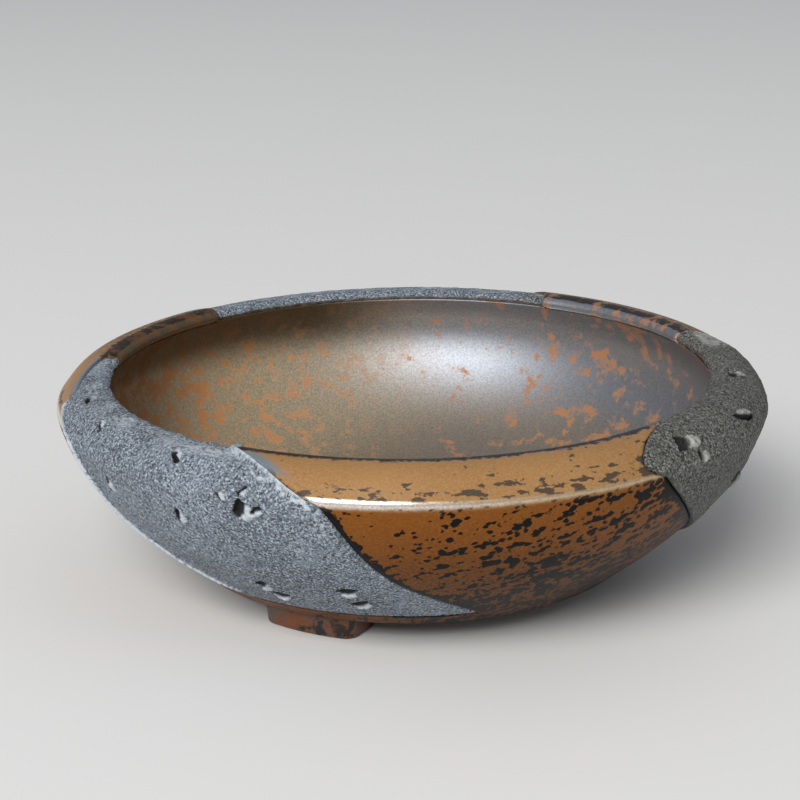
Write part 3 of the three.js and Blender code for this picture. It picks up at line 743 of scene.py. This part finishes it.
def wrapped_slab(name):
    """A slab, from its flat sheet to its place on the bowl."""
    slab = finished(clay_sheet(), name.replace("stone_patch", "clay_slab"))
    across, along, height = read(slab.data.vertices, "co", 3).T

    # The sheet's rows and columns crowd towards its edges. Then it is stretched between the torn edges.
    across = across - 0.5 * np.sin(2 * np.pi * across) / (2 * np.pi)
    along = along - 0.3 * np.sin(2 * np.pi * along) / (2 * np.pi)
    down = along * np.interp(SLAB_FOOT, outside_reach, outside_length)
    reach = np.interp(down, outside_length, outside_reach)
    first, last = edges[name]
    first_azimuth = np.interp(np.maximum(reach, 0), *first)
    last_azimuth = np.interp(np.maximum(reach, 0), *last)
    width = (last_azimuth - first_azimuth) % 360
    azimuth = first_azimuth + across * width
    span = np.radians(width) * outside(reach)[0]
    from_first = across * span
    from_last = (1 - across) * span
    from_end = np.minimum(down, down.max() - down)
    border = np.minimum(np.minimum(from_first, from_last), from_end)

    # How far its face stands out of the thrown bowl, rounded over at the edges.
    lip_stand, wall_stand = SLAB_STANDS[name]
    stand = lip_stand + (wall_stand - lip_stand) * np.clip(reach, 0, 1)
    stand = np.where(reach < 0, lip_stand * np.clip(1 + reach, 0, 1), stand)
    round_over = np.clip(1 - border / EDGE_ROUND, 0, 1)
    stand = stand - EDGE_DROP * (1 - np.sqrt(1 - round_over**2))

    # Lumps, grog and gouges, and the clay that is worn smooth and painted pale as a highlight.
    seed = lip_stand * 10000
    flat = np.radians(azimuth) * WRAP_RADIUS
    inland = np.clip(border / BORDER, 0, 1)
    ragged = rough(flat, down, TEAR_SIZE, seed + 12) + 0.5 * rough(flat, down, FINE_TEAR_SIZE, seed + 13)
    gouges = [pressed(gouge, azimuth, down, ragged) for gouge in GOUGES[name]]
    pocket, mound = np.max(gouges, axis=0)
    worn_and_highlight = mound
    uneven = RIGHT_UNEVENNESS if name == "stone_patch_right" else 1
    relief = inland * SWELL_HEIGHT * uneven * (rough(flat, down, SWELL_SIZE, seed) - 0.6)
    relief += inland * LUMP_HEIGHT * uneven * rough(flat, down, LUMP_SIZE, seed + 3)
    relief += GRIT_HEIGHT * (1 - mound) * rough(flat, down, GRIT_SIZE, seed + 7)
    over_lip = np.clip(-2 * reach, 0, 1)
    relief += LIP_LUMP_HEIGHT * over_lip * (rough(flat, down, LIP_LUMP_SIZE, seed + 9) - 0.3)
    if name == "stone_patch_left":
        crumpled = rough(flat, down, CRUST_SIZE, seed + 30)
        edge_worn_and_highlight, edge_relief, high_edge = left_edges(reach, from_first, from_last, inland, crumpled)
        worn_and_highlight = np.maximum(worn_and_highlight, edge_worn_and_highlight)
        relief += edge_relief
        stand = stand + high_edge * (LEFT_HIGH_EDGE - stand)
    # Painted highlights: a pale stroke where the right slab starts at the lip, and a pale band along the
    # lip of the others.
    if name == "stone_patch_right":
        worn_and_highlight = np.maximum(worn_and_highlight, bead(azimuth, 373, 6) * bead(reach, 0.1, 0.35))
    else:
        cloudy = 0.8 + rough(flat, down, CLOUD_SIZE, seed + 31)
        worn_and_highlight = np.maximum(worn_and_highlight, 0.4 * bead(reach, 0.05, 0.5) * cloudy)
    crumbs = rough(flat, down, CRUMB_SIZE, seed + 21)
    relief += CRUMB_HEIGHT * worn_and_highlight * crumbs
    worn_and_highlight = worn_and_highlight * (0.8 + 0.7 * crumbs)
    mound_height = MOUND_HEIGHT * mound * (1 + 0.9 * ragged)
    stand = stand + relief + (mound_height - POCKET_DEPTH * pocket) * inland
    stand = np.maximum(stand, THINNEST - SLAB_DEPTH)

    # Its face and its back go to the bowl.
    face_radius, face_level = outside(reach, stand)
    back_radius, back_level = bed_line(reach, SLAB_DEPTH)
    radius = back_radius + height * (face_radius - back_radius)
    level = back_level + height * (face_level - back_level)
    angle = np.radians(azimuth)
    place = np.column_stack([radius * np.cos(angle), radius * np.sin(angle), level])
    place = np.clip(place, np.array(cad_box[0]) + KEPT_INSIDE, np.array(cad_box[1]) - KEPT_INSIDE)
    slab.data.vertices.foreach_set("co", place.ravel())
    keep(slab.data, "pocket", pocket * inland)
    keep(slab.data, "worn_and_highlight", worn_and_highlight)
    keep(slab.data, "reach", reach)
    slab.data.update()
    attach(slab, "root")
    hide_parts(name)
    return slab


slabs = [wrapped_slab(name) for name in SLAB_EDGES]

# Slate-grey clay with sandy grog: pale grains and dark pits, the pits darkened as painted shade, and the
# gouge pockets nearly black as painted shade. Where a finger pressed it, it is smoother, and paler as a
# painted highlight.
# The right slab's clay is browner, and darker as painted shade.
SLATES = chart(98, 107, 118), chart(122, 132, 144)
BROWN_SHADED_SLATE = chart(88, 88, 84)
SANDS = chart(188, 198, 208), chart(152, 152, 146)
PIT_SHADES = chart(42, 46, 52), chart(26, 26, 24)
RUBBED_HIGHLIGHT_CLAYS = chart(198, 206, 215), chart(168, 168, 164)
POCKET_SHADE_BLACK = chart(14, 14, 15)
SMEARED_LUSTRE = chart(120, 114, 108)
CLAY_RELIEF = 0.0014

clay, start = new_material("clay")
place = start.node("ShaderNodeTexCoord", {}, {}, 3)
pocket_tone = start.kept("pocket")
worn_and_highlight_tone = start.kept("worn_and_highlight")
cloud = start.grain(place, 0.035, 3.0, 0.6)
sand = start.grain(place, 0.00095, 2.0, 0.7)
coarse = start.grain(place, 0.0022, 2.0, 0.6)
side = start.node("ShaderNodeSeparateXYZ", {}, {"Vector": place})
body = cloud.rise(0.3, 0.7).between(*SLATES)
# The right slab's clay is browner, and darker as painted shade; its grains, pits and rubbed places are
# darker too.
right = side.rise(0.04, 0.08)
body = right.between(body, BROWN_SHADED_SLATE)
body = (0.8 * sand.rise(0.52, 0.64)).between(body, right.between(*SANDS))
# Painted shade: the grain's hollows, where the relief is low, are darkened, more so on the right slab.
pit_shade = 1 - (sand + (0.4 + 0.2 * right) * coarse).rise(0.56 + 0.1 * right, 0.68 + 0.1 * right)
body = (0.85 * pit_shade).between(body, right.between(*PIT_SHADES))
# Painted highlight: pressed mounds, rolled edges and the lip are painted paler.
body = (0.85 * worn_and_highlight_tone.rise(0.12, 0.65)).between(body, right.between(*RUBBED_HIGHLIGHT_CLAYS))
# Painted shade: the gouge pockets are darkened to near black.
body = pocket_tone.rise(0.08, 0.42).between(body, POCKET_SHADE_BLACK)
lustred = 1 - (start.kept("reach") + 0.3 * coarse).rise(-0.95, -0.75)
body = lustred.between(body, SMEARED_LUSTRE)
relief = (sand * 0.7 + coarse * (0.6 + 0.5 * right)) * (1 - 0.6 * worn_and_highlight_tone)
finish = {"Base Color": body, "Metallic": 0.6 * lustred, "Roughness": 0.75 - 0.25 * worn_and_highlight_tone}
surface(start, finish, relief, CLAY_RELIEF)
for slab in slabs:
    slab.data.materials.append(clay)


# The feet
# Three block feet of the same clay, luted under the base and glazed with the bowl. Their long faces
# follow the base, their corners are rounded by hand, and each draws in a little towards the ground.
FOOT_DEPTH = 0.022
FOOT_TAPER = 0.0015
FOOT_CORNER = 0.0045
FOOT_HEEL = 0.0012
LUTING = 0.00005
FINGER_PLAY = 0.012
FINGER_WAVES = 90
PLAY_FADE = 0.002


def foot(number, node):
    """A foot, shaped beside the middle and turned to its place by so many thirds of a turn."""
    low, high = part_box("foot_right")
    height = BASE_LEVEL - LUTING
    length = high.y - low.y
    middle = high.x - FOOT_DEPTH / 2
    block = bmesh.new()
    bmesh.ops.create_cube(block, size=1)
    bmesh.ops.scale(block, verts=block.verts, vec=(FOOT_DEPTH, length, height))
    bmesh.ops.translate(block, verts=block.verts, vec=(0, 0, height / 2))
    upright = [e for e in block.edges if abs(e.verts[0].co.z - e.verts[1].co.z) > 0.001]
    rounding = {"profile": 0.5, "affect": "EDGES", "material": -1}
    bmesh.ops.bevel(block, geom=upright, offset=FOOT_CORNER, segments=6, **rounding)
    heel = [e for e in block.edges if max(v.co.z for v in e.verts) < 0.0001]
    bmesh.ops.bevel(block, geom=heel, offset=FOOT_HEEL, segments=4, **rounding)
    cuts = [((0, share * length, 0), (0, 1, 0)) for share in np.linspace(-0.46, 0.46, 41)]
    cuts += [((0, 0, share * height), (0, 0, 1)) for share in np.linspace(0.15, 0.92, 12)]
    for point, facing in cuts:
        geometry = block.verts[:] + block.edges[:] + block.faces[:]
        bmesh.ops.bisect_plane(block, geom=geometry, plane_co=point, plane_no=facing)
    for vertex in block.verts:
        x, y, z = vertex.co
        draw_in = FOOT_TAPER * (1 - z / height)
        waves = (x * FINGER_WAVES, y * FINGER_WAVES, z * FINGER_WAVES + 5 * number)
        wobble = noise.noise(Vector(waves))
        grow = 1 + FINGER_PLAY * (wobble - 0.5) * min(z / PLAY_FADE, 1, (height - z) / PLAY_FADE)
        x = x * (1 - draw_in / (FOOT_DEPTH / 2)) * grow
        y = y * (1 - draw_in / (length / 2)) * grow
        vertex.co = (math.sqrt((middle + x) ** 2 - y**2), y, z)
    turn = Matrix.Rotation(math.radians(120 * number), 3, "Z")
    bmesh.ops.rotate(block, verts=block.verts, cent=(0, 0, 0), matrix=turn)
    bmesh.ops.recalc_face_normals(block, faces=block.faces)
    piece = finished(block, node.replace("foot", "block_foot"))
    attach(piece, "root")
    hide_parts(node)
    return piece


feet = [foot(i, node) for i, node in enumerate(["foot_right", "foot_back_left", "foot_front_left"])]

# On the feet the amber glaze is darker and blotched, and grey in patches of painted sheen.
FOOT_AMBER_AND_SHEEN = chart(106, 56, 24), chart(72, 68, 70)
FOOT_GRAINS = chart(124, 80, 46)
FOOT_BLOTCHES = chart(28, 23, 22)
FOOT_RELIEF = 0.0001

foot_glaze, start = new_material("foot glaze")
place = start.node("ShaderNodeTexCoord", {}, {}, 3)
blotch = start.grain(place, 0.009, 5.0, 0.65)
sheen_haze = start.grain(place, 0.016, 3.0, 0.6)
fine = start.grain(place, 0.0009, 2.0, 0.6)
body = sheen_haze.rise(0.38, 0.6).between(*FOOT_AMBER_AND_SHEEN)
body = (0.4 * fine.rise(0.35, 0.7)).between(body, FOOT_GRAINS)
body = blotch.rise(0.49, 0.57).between(body, FOOT_BLOTCHES)
surface(start, {"Base Color": body, "Roughness": 0.4}, fine * 0.4 + blotch, FOOT_RELIEF)
for piece in feet:
    piece.data.materials.append(foot_glaze)


# The studio
# A pale floor under the pot, a large soft key light from the upper left front, and a pale sky.
KEY_PLACE = (-1.88, -4.68, 3.85)
KEY_AIM = Vector((0, 0, 0.05))
KEY_SIDES = (3.8, 2.6)
KEY_POWER = 390
KEY_COLOUR = (1.0, 0.985, 0.96)
SKY_COLOUR = (0.33, 0.34, 0.36)
FLOOR_PAINT = (0.8, 0.8, 0.79, 1)

floor_shape = bmesh.new()
bmesh.ops.create_grid(floor_shape, x_segments=1, y_segments=1, size=10)
floor = finished(floor_shape, "floor")

key_data = bpy.data.lights.new("key", "AREA")
key_data.energy = KEY_POWER
key_data.shape = "RECTANGLE"
key_data.size, key_data.size_y = KEY_SIDES
key_data.color = KEY_COLOUR
key = bpy.data.objects.new("key", key_data)
bpy.context.scene.collection.objects.link(key)
key.location = KEY_PLACE
key.rotation_euler = (KEY_AIM - key.location).to_track_quat("-Z", "Y").to_euler()

world = bpy.data.worlds.new("sky")
bpy.context.scene.world = world
world.color = SKY_COLOUR
bpy.context.scene.view_settings.view_transform = "Standard"

matt_floor, start = new_material("pale floor")
paint = start.node("ShaderNodeBsdfDiffuse", {}, {"Color": FLOOR_PAINT})
start.node("ShaderNodeOutputMaterial", {}, {"Surface": paint}, None)
floor.data.materials.append(matt_floor)
